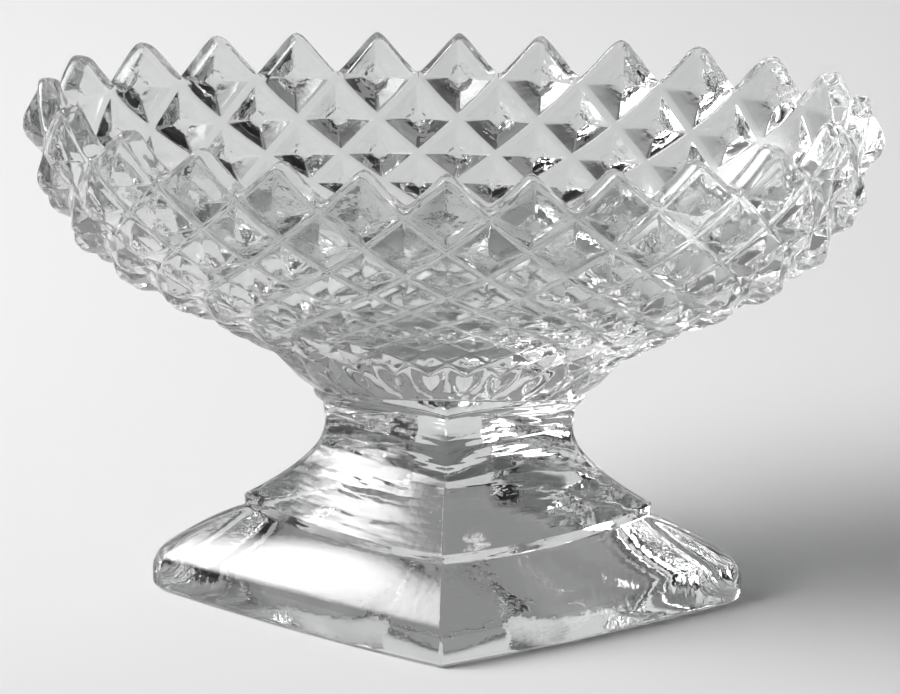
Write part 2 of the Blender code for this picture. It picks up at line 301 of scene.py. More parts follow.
def add_chain(tree, values, steps):
    """Adds a run of nodes. Each step names its result, and its inputs may name earlier results."""
    for result, kind, operation, *inputs in steps:
        links = {place: values.get(source, source) for place, source in enumerate(inputs)}
        values[result] = add_node(tree, kind, {"operation": operation}, links).outputs[0]


def smooth_step(tree, value, start, end):
    """A soft step from 0 to 1 while a value goes from start to end."""
    return add_node(tree, "ShaderNodeMapRange", {"interpolation_type": "SMOOTHSTEP"}, {
        "Value": value, "From Min": start, "From Max": end}).outputs["Result"]


def blend(tree, part, first, second):
    """A colour between two colours."""
    return add_node(tree, "ShaderNodeMix", {"data_type": "RGBA"}, {
        "Factor": part, "A": (*first, 1.0), "B": (*second, 1.0)}).outputs["Result"]


def between(low, high, part):
    """A number that far from one number to another."""
    return low + (high - low) * part


def new_material(name):
    """A material with nodes, its tree and its shader."""
    material = bpy.data.materials.new(name)
    material.use_nodes = True
    return material, material.node_tree, material.node_tree.nodes["Principled BSDF"]


def pressed_glass(streaked=False):
    """Clear soda-lime glass, pressed in an iron mould and fire polished.

    To the eye it is a colourless solid that bends what lies behind it. The mould leaves ripples under
    a millimetre wide, which break up the edges of reflections, over broader waves of the surface.
    The stem has level streaks as well.
    """
    look = bpy.context.scene.nut_dish.glass
    name = "streaked_soda_lime_glass" if streaked else "pressed_soda_lime_glass"
    material = bpy.data.materials.get(name)
    if material:
        return material
    material, tree, shader = new_material(name)
    shader.inputs["Base Color"].default_value = (*look.tint, 1.0)
    shader.inputs["Metallic"].default_value = 0.0
    shader.inputs["Roughness"].default_value = look.roughness
    shader.inputs["IOR"].default_value = look.ior
    shader.inputs["Transmission Weight"].default_value = 1.0
    place = add_node(tree, "ShaderNodeTexCoord").outputs["Object"]
    rise = add_node(tree, "ShaderNodeAttribute", {"attribute_name": RISE}).outputs["Fac"]
    towards_point = add_node(tree, "ShaderNodeMapRange", {}, {
        "Value": rise, "From Min": 0.0, "From Max": WRINKLE_LEVEL})
    chilled = add_node(tree, "ShaderNodeMath", {"operation": "POWER"}, {
        0: towards_point.outputs["Result"], 1: look.wrinkle_focus})
    layers = [(place, look.wave_size, look.wave_depth, 1.0),
              (place, look.ripple_size, look.ripple_depth, 1.0),
              (place, look.wrinkle_size, look.wrinkle_depth, chilled.outputs["Value"])]
    if streaked:
        squeeze = look.streak_size / look.streak_length
        level = add_node(tree, "ShaderNodeVectorMath", {"operation": "MULTIPLY"}, {
            0: place, 1: (squeeze, squeeze, 1.0)})
        layers.append((level.outputs["Vector"], look.streak_size, look.streak_depth, 1.0))
    normal = None
    for where, size, depth, strength in layers:
        noise = add_node(tree, "ShaderNodeTexNoise", links={
            "Vector": where, "Scale": 1 / size, "Detail": NOISE_DETAIL, "Roughness": NOISE_ROUGHNESS})
        links = {"Strength": strength, "Distance": depth, "Height": noise.outputs["Fac"]}
        if normal:
            links["Normal"] = normal
        normal = add_node(tree, "ShaderNodeBump", links=links).outputs["Normal"]
    tree.links.new(normal, shader.inputs["Normal"])
    return material


def fused_joint():
    """Glass fused to glass: the two gathers ran together while hot, so the eye finds no surface."""
    material = bpy.data.materials.get("fused_glass_joint")
    if material:
        return material
    material, tree, shader = new_material("fused_glass_joint")
    tree.nodes.remove(shader)
    clear = add_node(tree, "ShaderNodeBsdfTransparent", links={"Color": (1.0, 1.0, 1.0, 1.0)})
    tree.links.new(clear.outputs["BSDF"], tree.nodes["Material Output"].inputs["Surface"])
    return material


def skin(mesh, lower, upper):
    """Quads between two matching closed rows of vertices, facing outwards when upper is above."""
    count = len(lower)
    for here in range(count):
        ahead = (here + 1) % count
        mesh.faces.new((lower[here], lower[ahead], upper[ahead], upper[here]))


def cap(mesh, ring, mirror, upwards, material_index):
    """Strips across a closed row, between the places that mirror each other from front to back.

    The row runs anticlockwise, and a place and the one it mirrors add up to the number given.
    """
    count = len(ring)
    near = mirror // 2
    far = mirror - near
    for step in range(count // 2):
        places = (near - step, far + step, far + step + 1, near - step - 1)
        corners = list(dict.fromkeys(ring[place % count] for place in places))
        if len(corners) > 2:
            face = mesh.faces.new(corners if upwards else list(reversed(corners)))
            face.material_index = material_index


def finish_piece(mesh, name, sharp, streaked=False):
    """Makes a closed mesh one smooth-shaded glass piece that rides on the dish for its CAD node."""
    data = bpy.data.meshes.new(name)
    mesh.to_mesh(data)
    mesh.free()
    data.materials.append(pressed_glass(streaked))
    data.materials.append(fused_joint())
    data.shade_smooth()
    data.set_sharp_from_angle(angle=sharp)
    piece = bpy.data.objects.new("glass_" + name, data)
    bpy.context.scene.collection.objects.link(piece)
    flat_facets = piece.modifiers.new("flat_facets", "WEIGHTED_NORMAL")
    flat_facets.keep_sharp = True
    depsgraph = bpy.context.evaluated_depsgraph_get()
    piece.data = bpy.data.meshes.new_from_object(piece.evaluated_get(depsgraph), depsgraph=depsgraph)
    piece.modifiers.remove(flat_facets)
    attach(piece, BODY)
    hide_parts(name)


def lozenge_ring(half_length, half_width, end_radius, side_radius, bow, roundness, z):
    """An outline with rounded corners and bowed sides, anticlockwise, eased towards an ellipse."""
    end_turn = math.atan2(half_length, half_width)
    side_turn = math.pi / 2 - end_turn
    end_centre = half_length - end_radius / math.cos(end_turn)
    side_centre = half_width - side_radius / math.cos(side_turn)
    corners = [
        (Vector((end_centre, 0.0)), end_radius, end_turn),
        (Vector((0.0, side_centre)), side_radius, side_turn),
        (Vector((-end_centre, 0.0)), end_radius, end_turn),
        (Vector((0.0, -side_centre)), side_radius, side_turn),
    ]
    arcs = []
    for quarter, (centre, radius, half_turn) in enumerate(corners):
        facing = quarter * math.pi / 2
        angles = [facing + half_turn * (2 * step / CORNER_STEPS - 1) for step in range(CORNER_STEPS + 1)]
        arcs.append([centre + radius * Vector((math.cos(a), math.sin(a))) for a in angles])
    outline = []
    for quarter, arc in enumerate(arcs):
        start = arc[-1]
        along = arcs[(quarter + 1) % 4][0] - start
        outward = Vector((along.y, -along.x)).normalized()
        outline.extend(arc)
        for step in range(1, SIDE_STEPS):
            part = step / SIDE_STEPS
            outline.append(start + along * part + outward * (bow * 4 * part * (1 - part)))
    ring = []
    for point in outline:
        angle = math.atan2(point.y / half_width, point.x / half_length)
        oval = Vector((half_length * math.cos(angle), half_width * math.sin(angle)))
        ring.append(point.lerp(oval, roundness).to_3d() + Vector((0.0, 0.0, z)))
    return ring


def inset(half_length, half_width, distance):
    """Half diagonals of a lozenge whose sides lie that distance further in."""
    side_distance = half_length * half_width / math.hypot(half_length, half_width)
    part = 1 - distance / side_distance
    return half_length * part, half_width * part


def rounded_edge(start, corner, end):
    """Outlines of a fire-polished edge, curving from one outline to another under their corner."""
    rings = []
    for step in range(EDGE_STEPS + 1):
        part = step / EDGE_STEPS
        rings.append([low.lerp(sharp, part).lerp(sharp.lerp(high, part), part)
                      for low, sharp, high in zip(start, corner, end)])
    return rings


def lofted_mesh(rings, joined_below, joined_above):
    """A closed skin over a stack of lozenge outlines, bottom to top, fused where it is joined."""
    mesh = bmesh.new()
    rows = [[mesh.verts.new(point) for point in ring] for ring in rings]
    for lower, upper in zip(rows, rows[1:]):
        skin(mesh, lower, upper)
    cap(mesh, rows[0], CORNER_STEPS, False, FUSED_INDEX if joined_below else GLASS_INDEX)
    cap(mesh, rows[-1], CORNER_STEPS, True, FUSED_INDEX if joined_above else GLASS_INDEX)
    return mesh


def stem_seat_ring(stem):
    """Outline in which the foot and the stem are fused."""
    seat_length, seat_width = inset(stem.skirt_half_length, stem.skirt_half_width, stem.overhang)
    return lozenge_ring(seat_length, seat_width, stem.end_radius, stem.side_radius, stem.skirt_bow,
                        0.0, STEM_SEAT)


def wafer_seat_ring(stem, wafer):
    """Outline in which the stem and the wafer are fused."""
    return lozenge_ring(wafer.half_length, wafer.half_width, stem.end_radius, stem.side_radius, 0.0,
                        wafer.roundness, WAFER_SEAT)


def bowl_seat_ring(stem, wafer, bowl):
    """Outline in which the wafer and the bowl are fused."""
    ring = lozenge_ring(bowl.base_half_length - wafer.crease, bowl.base_half_width - wafer.crease,
                        stem.end_radius, stem.side_radius, 0.0, 1.0, BOWL_SEAT)
    for point in ring:
        point.z -= bowl.sag * (point.x / (bowl.base_half_length - wafer.crease)) ** 2
    return ring


class NUTDISH_OT_foot(bpy.types.Operator):
    """Build the lozenge foot, with a polished upright edge and four slopes up to the stem"""
    bl_idname = "nut_dish.foot"
    bl_label = "Foot"

    def execute(self, context):
        sizes = context.scene.nut_dish.foot
        stem = context.scene.nut_dish.stem

        def outline(distance, z):
            half_length, half_width = inset(sizes.half_length, sizes.half_width, distance)
            return lozenge_ring(half_length, half_width, sizes.end_radius, sizes.side_radius,
                                sizes.side_bow, 0.0, z)

        seat = stem_seat_ring(stem)
        brow = outline(0.0, sizes.edge_height)

        def slope(part):
            """Outline that far up the domed slopes, from the unrounded upper edge to the stem."""
            swell = Vector((0.0, 0.0, sizes.dome * 4 * part * (1 - part)))
            return [low.lerp(high, part) + swell for low, high in zip(brow, seat)]

        run = (brow[0] - seat[0]).length
        start = sizes.shoulder / run
        rings = rounded_edge(outline(sizes.polish, TABLE), outline(0.0, TABLE),
                             outline(0.0, TABLE + sizes.polish))
        rings += rounded_edge(outline(0.0, sizes.edge_height - sizes.shoulder), brow, slope(start))
        for step in range(1, SIDE_STEPS + 1):
            rings.append(slope(start + (1 - start) * step / SIDE_STEPS))
        finish_piece(lofted_mesh(rings, False, True), "foot", LOFT_CREASE)
        return {"FINISHED"}


class NUTDISH_OT_stem(bpy.types.Operator):
    """Build the stem: skirt edge, concave flare up to the neck, and a throat up to the wafer"""
    bl_idname = "nut_dish.stem"
    bl_label = "Stem"

    def execute(self, context):
        sizes = context.scene.nut_dish.stem
        wafer = context.scene.nut_dish.wafer

        def section(half_length, half_width, bow, roundness, z):
            return lozenge_ring(half_length, half_width, sizes.end_radius, sizes.side_radius, bow,
                                roundness, z)

        rings = [stem_seat_ring(sizes)]
        rings.append(section(sizes.skirt_half_length, sizes.skirt_half_width, sizes.skirt_bow, 0.0,
                             STEM_SEAT))
        for step in range(FLARE_STEPS + 1):
            rise = step / FLARE_STEPS
            spread = (1 - rise) ** sizes.flare_power
            side_rise = rise * (sizes.neck_height - sizes.skirt_edge)
            side_rise /= sizes.side_neck_height - sizes.skirt_edge
            side_spread = 1 - side_rise + math.hypot(1 - side_rise, sizes.side_softness)
            side_spread /= 1 + math.hypot(1, sizes.side_softness)
            half_length = between(sizes.neck_half_length, sizes.skirt_half_length, spread)
            half_width = between(sizes.neck_half_width, sizes.skirt_half_width, side_spread)
            z = STEM_SEAT + between(sizes.skirt_edge, sizes.neck_height, rise)
            rings.append(section(half_length, half_width, sizes.skirt_bow * (1 - rise ** 2), 0.0, z))
        for step in range(1, THROAT_STEPS + 1):
            rise = step / THROAT_STEPS
            half_length = between(sizes.neck_half_length, wafer.half_length, rise ** 2)
            half_width = between(sizes.neck_half_width, wafer.half_width, rise ** 2)
            z = between(STEM_SEAT + sizes.neck_height, WAFER_SEAT, rise)
            rings.append(section(half_length, half_width, 0.0, wafer.roundness * rise, z))
        finish_piece(lofted_mesh(rings, True, True), "stem", LOFT_CREASE, streaked=True)
        return {"FINISHED"}


class NUTDISH_OT_wafer(bpy.types.Operator):
    """Build the wafer that turns the stem's eased lozenge into the oval base of the bowl"""
    bl_idname = "nut_dish.wafer"
    bl_label = "Wafer"

    def execute(self, context):
        dish = context.scene.nut_dish
        low_ring = wafer_seat_ring(dish.stem, dish.wafer)
        high_ring = bowl_seat_ring(dish.stem, dish.wafer, dish.bowl)
        rings = []
        for step in range(WAFER_STEPS + 1):
            part = step / WAFER_STEPS
            ring = []
            for low, high in zip(low_ring, high_ring):
                z = between(low.z, high.z, part)
                grown = max(0.0, 1 - (high.z - z) / dish.wafer.collar)
                point = low.lerp(high, grown)
                out = Vector((point.x, point.y, 0.0)).normalized()
                point += out * dish.wafer.bulge * math.sin(math.pi * grown)
                point.z = z
                ring.append(point)
            rings.append(ring)
        finish_piece(lofted_mesh(rings, True, True), "wafer", LOFT_CREASE)
        return {"FINISHED"}


def hob_lattice_tree(bowl):
    """Geometry Nodes that shape one hob and repeat it over a diamond lattice, laid out flat.

    In the flat lattice one unit across is half a hob round the bowl, one unit down is half a row, and
    the height is a share of the height that the hob would have with a sharp point.
    """
    tree = bpy.data.node_groups.new("hob_lattice", "GeometryNodeTree")
    for name, kind in (("Hobs Round", "NodeSocketInt"), ("Rows", "NodeSocketInt"),
                       ("Groove", "NodeSocketFloat"), ("Ridge", "NodeSocketFloat"),
                       ("Fillet", "NodeSocketFloat"), ("Blunt", "NodeSocketFloat"),
                       ("Cap", "NodeSocketFloat"), ("Chill", "NodeSocketFloat"),
                       ("Chill Scale", "NodeSocketFloat"), ("Seed", "NodeSocketFloat"),
                       ("Glass", "NodeSocketMaterial")):
        tree.interface.new_socket(name, in_out="INPUT", socket_type=kind)
    tree.interface.new_socket("Hobs", in_out="OUTPUT", socket_type="NodeSocketGeometry")
    given = add_node(tree, "NodeGroupInput").outputs
    values = {name: given[name] for name in given.keys() if name}
    math_node = "ShaderNodeMath"

    # One hob is a sheet rolled round its point: four facets from side to side, rings from the middle
    # out to the edge of its cell. Lines lie close together on the ridges, at the groove and on the point.
    foot = 1 - bowl.groove
    facet_lines = (0.0, bowl.ridge / 2, 0.5, 1 - bowl.ridge / 2, 1.0)
    ring_lines = (0.0, *POINT_RINGS, foot - bowl.fillet, foot + bowl.fillet, 1.0)
    sheet = add_node(tree, "GeometryNodeMeshGrid", links={
        "Size X": 1.0, "Size Y": 1.0, "Vertices X": FACETS * (len(facet_lines) - 1) + 1,
        "Vertices Y": len(ring_lines)})
    place = add_node(tree, "GeometryNodeInputPosition").outputs["Position"]
    axes = add_node(tree, "ShaderNodeSeparateXYZ", links={0: place}).outputs
    values["sheet_x"] = axes["X"]
    values["sheet_y"] = axes["Y"]
    add_chain(tree, values, (
        ("round", math_node, "MULTIPLY_ADD", "sheet_x", FACETS, FACETS / 2),
        ("before_end", math_node, "MINIMUM", "round", FACETS - 0.5),
        ("facet", math_node, "FLOOR", "before_end"),
        ("along_facet", math_node, "SUBTRACT", "round", "facet"),
        ("outwards", math_node, "ADD", "sheet_y", 0.5),
    ))
    for even, spaced, lines in (("along_facet", "side_share", facet_lines),
                                ("outwards", "out", ring_lines)):
        spacing = add_node(tree, "ShaderNodeFloatCurve", links={"Value": values[even]})
        curve = spacing.mapping.curves[0]
        for step, line in enumerate(lines[1:-1], 1):
            curve.points.new(step / (len(lines) - 1), line)
        for point in curve.points:
            point.handle_type = "VECTOR"
        spacing.mapping.update()
        values[spaced] = spacing.outputs[0]
    add_chain(tree, values, (
        ("to_side", math_node, "MULTIPLY_ADD", "side_share", 2.0, -1.0),
        ("from_facet_middle", math_node, "ABSOLUTE", "to_side"),
        ("flat_share", math_node, "SUBTRACT", 1.0, "Ridge"),
        ("past_flat", math_node, "SUBTRACT", "from_facet_middle", "flat_share"),
        ("rounding", math_node, "MAXIMUM", "past_flat", 0.0),
        ("ridge_drop", math_node, "MULTIPLY_ADD", "rounding", 0.5, 1.0),
        ("level", math_node, "MULTIPLY", "out", "ridge_drop"),
        ("foot", math_node, "SUBTRACT", 1.0, "Groove"),
        ("climb", math_node, "SUBTRACT", "foot", "level"),
        ("pyramid", math_node, "DIVIDE", "climb", "foot"),
        ("grooved", math_node, "SMOOTH_MAX", "pyramid", 0.0, "Fillet"),
        ("rise", math_node, "SMOOTH_MIN", "grooved", "Blunt", "Cap"),
        ("forward", math_node, "MULTIPLY", "out", math.sqrt(0.5)),
        ("sideways", math_node, "MULTIPLY", "forward", "to_side"),
        ("turned", math_node, "MULTIPLY_ADD", "facet", math.pi / 2, math.pi / 4),
    ))
    on_sheet = add_node(tree, "ShaderNodeCombineXYZ", links={
        "X": values["forward"], "Y": values["sideways"], "Z": values["rise"]})
    rolled = add_node(tree, "ShaderNodeVectorRotate", {"rotation_type": "Z_AXIS"}, {
        "Vector": on_sheet.outputs[0], "Angle": values["turned"]})
    shaped = add_node(tree, "GeometryNodeSetPosition", links={
        "Geometry": sheet.outputs["Mesh"], "Position": rolled.outputs[0]})
    closed = add_node(tree, "GeometryNodeMergeByDistance", links={
        "Geometry": shaped.outputs[0], "Distance": LATTICE_WELD})
    hob = add_node(tree, "GeometryNodeFlipFaces", links={"Mesh": closed.outputs[0]})

    # One site for each hob; every second row is shifted by half a hob
    values["index"] = add_node(tree, "GeometryNodeInputIndex").outputs[0]
    add_chain(tree, values, (
        ("count", math_node, "MULTIPLY", "Hobs Round", "Rows"),
        ("turns", math_node, "DIVIDE", "index", "Hobs Round"),
        ("row_before", math_node, "FLOOR", "turns"),
        ("row_down", math_node, "MULTIPLY_ADD", "row_before", -1.0, -1.0),
        ("in_row", math_node, "MODULO", "index", "Hobs Round"),
        ("shift", math_node, "MODULO", "row_before", 2.0),
        ("column", math_node, "MULTIPLY_ADD", "in_row", 2.0, "shift"),
    ))
    site = add_node(tree, "ShaderNodeCombineXYZ", links={
        "X": values["column"], "Y": values["row_down"], "Z": 0.0})
    sites = add_node(tree, "GeometryNodePoints", links={
        "Count": values["count"], "Position": site.outputs[0]})
    hobs = add_node(tree, "GeometryNodeInstanceOnPoints", links={
        "Points": sites.outputs[0], "Instance": hob.outputs[0]})
    joined = add_node(tree, "GeometryNodeRealizeInstances", links={"Geometry": hobs.outputs[0]})

    # The cold mould wrinkles the glass where it fails to fill the point of a hob
    wrinkle = add_node(tree, "ShaderNodeTexNoise", {"noise_dimensions": "4D"}, {
        "Vector": place, "W": given["Seed"], "Scale": given["Chill Scale"], "Detail": 1.0})
    values["wrinkle"] = wrinkle.outputs["Fac"]
    values["near_point"] = smooth_step(tree, axes["Z"], CHILL_START, CHILL_FULL)
    add_chain(tree, values, (
        ("either_way", math_node, "SUBTRACT", "wrinkle", 0.5),
        ("deep", math_node, "MULTIPLY", "either_way", "Chill"),
        ("on_point", math_node, "MULTIPLY", "deep", "near_point"),
    ))
    rough = add_node(tree, "ShaderNodeCombineXYZ", links={"Z": values["on_point"]})
    wrinkled = add_node(tree, "GeometryNodeSetPosition", links={
        "Geometry": joined.outputs[0], "Offset": rough.outputs[0]})
    glazed = add_node(tree, "GeometryNodeSetMaterial", links={
        "Geometry": wrinkled.outputs[0], "Material": given["Glass"]})
    add_node(tree, "NodeGroupOutput", links={"Hobs": glazed.outputs[0]})
    return tree


def flat_hobs(bowl):
    """The hobs as one plain mesh, still flat in lattice units."""
    tree = hob_lattice_tree(bowl)
    carrier = bpy.data.objects.new("hob_carrier", bpy.data.meshes.new("hob_carrier"))
    bpy.context.scene.collection.objects.link(carrier)
    modifier = carrier.modifiers.new("hob_lattice", "NODES")
    modifier.node_group = tree
    half_hob = bowl.rim_half_length * 2 * math.pi / (2 * bowl.hobs_round)
    chosen = {
        "Hobs Round": bowl.hobs_round,
        "Rows": bowl.half_rows - 1,
        "Groove": bowl.groove,
        "Ridge": bowl.ridge,
        "Fillet": bowl.fillet,
        "Blunt": bowl.blunt,
        "Cap": bowl.cap,
        "Chill": bowl.chill,
        "Chill Scale": half_hob / bowl.chill_size,
        "Seed": CHILL_SEED,
        "Glass": pressed_glass(),
    }
    for socket in tree.interface.items_tree:
        if socket.in_out == "INPUT":
            modifier[socket.identifier] = chosen[socket.name]
    depsgraph = bpy.context.evaluated_depsgraph_get()
    mesh = bpy.data.meshes.new_from_object(carrier.evaluated_get(depsgraph), depsgraph=depsgraph)
    carrier.modifiers.remove(modifier)
    bpy.data.objects.remove(carrier)
    if not mesh.polygons:
        raise RuntimeError("the hob lattice came out empty")
    return mesh


def rim_angles(bowl, column):
    """Angles on the rim's ellipse, from the front, that space the half hobs evenly along it."""
    angle = np.linspace(0.0, 2 * math.pi, ARC_SAMPLES + 1)
    x = bowl.rim_half_length * np.sin(angle)
    y = bowl.rim_half_width * np.cos(angle)
    arc = np.concatenate(([0.0], np.cumsum(np.hypot(np.diff(x), np.diff(y)))))
    part = np.mod(column / (2 * bowl.hobs_round), 1.0)
    return np.interp(part * arc[-1], arc, angle)


def bezier(start, start_handle, end_handle, end, part):
    """One coordinate of a cubic curve."""
    rest = 1 - part
    return (rest ** 3 * start + 3 * rest ** 2 * part * start_handle
            + 3 * rest * part ** 2 * end_handle + part ** 3 * end)


def wall_points(bowl, column, row):
    """Points of the outer wall; columns run anticlockwise from the front, rows down from the rim."""
    part = 1 - row * bowl.lattice_share / bowl.half_rows
    angle = rim_angles(bowl, column)
    reach = bezier(bowl.base_half_length, bowl.base_half_length + bowl.belly_reach,
                   bowl.rim_half_length + bowl.swell, bowl.rim_half_length, part)
    width = bezier(bowl.base_half_width, bowl.base_half_width, bowl.rim_half_width - bowl.side_taper,
                   bowl.rim_half_width, part)
    height = BOWL_SEAT + bezier(0.0, bowl.belly_lift, bowl.height - bowl.upright, bowl.height, part)
    height = height + (bowl.saddle * part ** 2 - bowl.sag * (1 - part) ** 2) * np.sin(angle) ** 2
    return np.stack((reach * np.sin(angle), -width * np.cos(angle), height), axis=-1)


def wall_normals(bowl, column, row):
    """Outward directions of the outer wall."""
    step = 0.01
    along = wall_points(bowl, column + step, row) - wall_points(bowl, column - step, row)
    down = wall_points(bowl, column, row + step) - wall_points(bowl, column, row - step)
    normal = np.cross(down, along)
    return normal / np.linalg.norm(normal, axis=-1, keepdims=True)


def rounded_rows(bowl, column, row):
    """Rows moved so that the rim's zigzag has rounded points and rounded dips."""
    zigzag = np.abs(np.mod(column + 1, 2) - 1)
    point = np.hypot(zigzag, bowl.tip_round) - zigzag
    dip = np.hypot(1 - zigzag, bowl.dip_round) - (1 - zigzag)
    fading = np.clip(1 - (row - zigzag), 0.0, 1.0)
    return row + (point - dip) * fading


def basin_points(bowl, angle, depth):
    """Points of the smooth basin, from the rim (depth 0) to the floor (depth 1)."""
    end_spread = np.sqrt(np.clip(1 - depth ** bowl.basin_end_power, 0.0, 1.0))
    side_spread = np.sqrt(np.clip(1 - depth ** bowl.basin_side_power, 0.0, 1.0))
    reach = (bowl.rim_half_length - bowl.rim_thickness) * end_spread
    width = (bowl.rim_half_width - bowl.rim_thickness) * side_spread
    rim = bowl.height + bowl.saddle * np.sin(angle) ** 2
    height = BOWL_SEAT + bowl.floor_thickness + (rim - bowl.floor_thickness) * (1 - depth)
    return np.stack((reach * np.sin(angle), -width * np.cos(angle), height), axis=-1)


def per_vertex(mesh, layer):
    """One value for each vertex of a mesh, from a layer."""
    return np.array([vert[layer] for vert in mesh.verts])


def move_vertices(mesh, points):
    """Puts every vertex of a mesh in its new place."""
    for vert, point in zip(mesh.verts, points):
        vert.co = point


def hobnail_wall(bowl):
    """The hobs wrapped round the bowl and welded, with a fine edge along the rim.

    Each vertex keeps its column and row in the lattice and its rise above the wall as layers.
    """
    flat = flat_hobs(bowl)
    mesh = bmesh.new()
    mesh.from_mesh(flat)
    bpy.data.meshes.remove(flat)
    column_of, row_of, rise_of = [mesh.verts.layers.float.new(name) for name in ("column", "row", RISE)]
    for vert in mesh.verts:
        vert[column_of], vert[row_of], vert[rise_of] = vert.co.x, -vert.co.y, vert.co.z
    on_wall = wall_points(bowl, per_vertex(mesh, column_of), per_vertex(mesh, row_of))
    rise = per_vertex(mesh, rise_of)
    move_vertices(mesh, on_wall * (1 + rise[:, None]))
    bmesh.ops.remove_doubles(mesh, verts=list(mesh.verts), dist=WELD)

    rim = [edge for edge in mesh.edges if edge.is_boundary and edge.verts[0][row_of] < bowl.half_rows / 2
           and bowl.ridge < abs(edge.verts[0][column_of] - edge.verts[1][column_of]) < 1]
    bmesh.ops.subdivide_edges(mesh, edges=rim, cuts=RIM_CUTS)
    column = per_vertex(mesh, column_of)
    row = rounded_rows(bowl, column, per_vertex(mesh, row_of))
    on_wall = wall_points(bowl, column, row)
    scale = np.hypot(on_wall[:, 0] / bowl.rim_half_length, on_wall[:, 1] / bowl.rim_half_width)
    lift = per_vertex(mesh, rise_of) * bowl.hob_height * scale ** bowl.hob_fade
    move_vertices(mesh, on_wall + wall_normals(bowl, column, row) * lift[:, None])
    for vert, kept in zip(mesh.verts, row):
        vert[row_of] = kept
    for face in mesh.faces:
        face.material_index = GLASS_INDEX
    return mesh


class NUTDISH_OT_bowl(bpy.types.Operator):
    """Build the bowl: hobnail wall, polished rim in points, smooth basin and plain band below"""
    bl_idname = "nut_dish.bowl"
    bl_label = "Bowl"

    def execute(self, context):
        dish = context.scene.nut_dish
        bowl = dish.bowl
        mesh = hobnail_wall(bowl)
        column_of = mesh.verts.layers.float["column"]
        row_of = mesh.verts.layers.float["row"]

        def border(upper):
            """The open edge of the hobnail wall at its rim or at its hem, in order round the bowl."""
            found = [vert for vert in mesh.verts
                     if vert.is_boundary and (vert[row_of] < bowl.half_rows / 2) == upper]
            found.sort(key=lambda vert: vert[column_of] % (2 * bowl.hobs_round))
            return found, np.array([vert[column_of] for vert in found])

        edge, columns = border(True)
        outer = np.array([vert.co for vert in edge])
        angle = rim_angles(bowl, columns)
        rim = BOWL_SEAT + bowl.height + bowl.saddle * np.sin(angle) ** 2
        floor = BOWL_SEAT + bowl.floor_thickness
        lip_depth = (rim - outer[:, 2]) / (rim - floor)
        lip = basin_points(bowl, angle, lip_depth)

        # Half-round bead from the hobs over to the basin
        above = edge
        for step in range(1, BEAD_STEPS + 1):
            swing = math.pi * step / BEAD_STEPS
            part = (1 - math.cos(swing)) / 2
            ring = outer * (1 - part) + lip * part
            ring[:, 2] += bowl.bead * math.sin(swing)
            row = [mesh.verts.new(point) for point in ring]
            skin(mesh, above, row)
            above = row

        # Basin, whose rows lose the zigzag on the way down to one point on the floor
        for step in range(1, BASIN_ROWS):
            part = step / BASIN_ROWS
            depth = lip_depth + (1 - lip_depth) * part
            row = [mesh.verts.new(point) for point in basin_points(bowl, angle, depth)]
            skin(mesh, above, row)
            above = row
        middle = mesh.verts.new(basin_points(bowl, 0.0, 1.0))
        for here, vert in enumerate(above):
            mesh.faces.new((vert, above[(here + 1) % len(above)], middle))

        # Smooth band from the hobs down to the base, rolled in to the face that is fused to the wafer
        hem, columns = border(False)
        rows = np.array([vert[row_of] for vert in hem])
        base_row = bowl.half_rows / bowl.lattice_share
        base = wall_points(bowl, columns, np.full_like(rows, base_row))
        crease = dish.wafer.crease
        upper = hem
        for step in range(1, BAND_ROWS + 1):
            part = 1 - (1 - step / BAND_ROWS) ** 2
            row = rows + (base_row - rows) * part
            ring = wall_points(bowl, columns, row)
            below_roll = np.clip(1 - (ring[:, 2] - base[:, 2]) / crease, 0.0, 1.0)
            curl = crease * (1 - np.sqrt(1 - below_roll ** 2))
            swell = bowl.band_swell * math.sin(math.pi * part)
            ring += wall_normals(bowl, columns, row) * (swell - curl)[:, None]
            if step == BAND_ROWS:
                ring = base * ((bowl.base_half_length - crease) / bowl.base_half_length,
                               (bowl.base_half_width - crease) / bowl.base_half_width, 1.0)
            lower = [mesh.verts.new(point) for point in ring]
            skin(mesh, lower, upper)
            upper = lower
        cap(mesh, lower, len(lower) // 2, False, FUSED_INDEX)
        finish_piece(mesh, "bowl", HOB_CREASE)
        return {"FINISHED"}


def paper_sheet(look):
    """Matt paper with a painted pool of light: pale round the dish, fading to painted shade far from it,
    with no gloss.
    """
    material, tree, shader = new_material("matt_paper_painted_light_pool")
    place = add_node(tree, "ShaderNodeTexCoord").outputs["Object"]
    # Painted light falloff: the paper's colour darkens with distance from the middle of the painted pool
    # of light
    away = add_node(tree, "ShaderNodeVectorMath", {"operation": "DISTANCE"}, {
        0: place, 1: look.painted_light_middle})
    darker = smooth_step(tree, away.outputs["Value"], 0.0, look.painted_shade_radius)
    tree.links.new(blend(tree, darker, look.paper, look.paper_painted_shade), shader.inputs["Base Color"])
    shader.inputs["Roughness"].default_value = PAPER_ROUGHNESS
    shader.inputs["Specular IOR Level"].default_value = PAPER_GLOSS
    return material


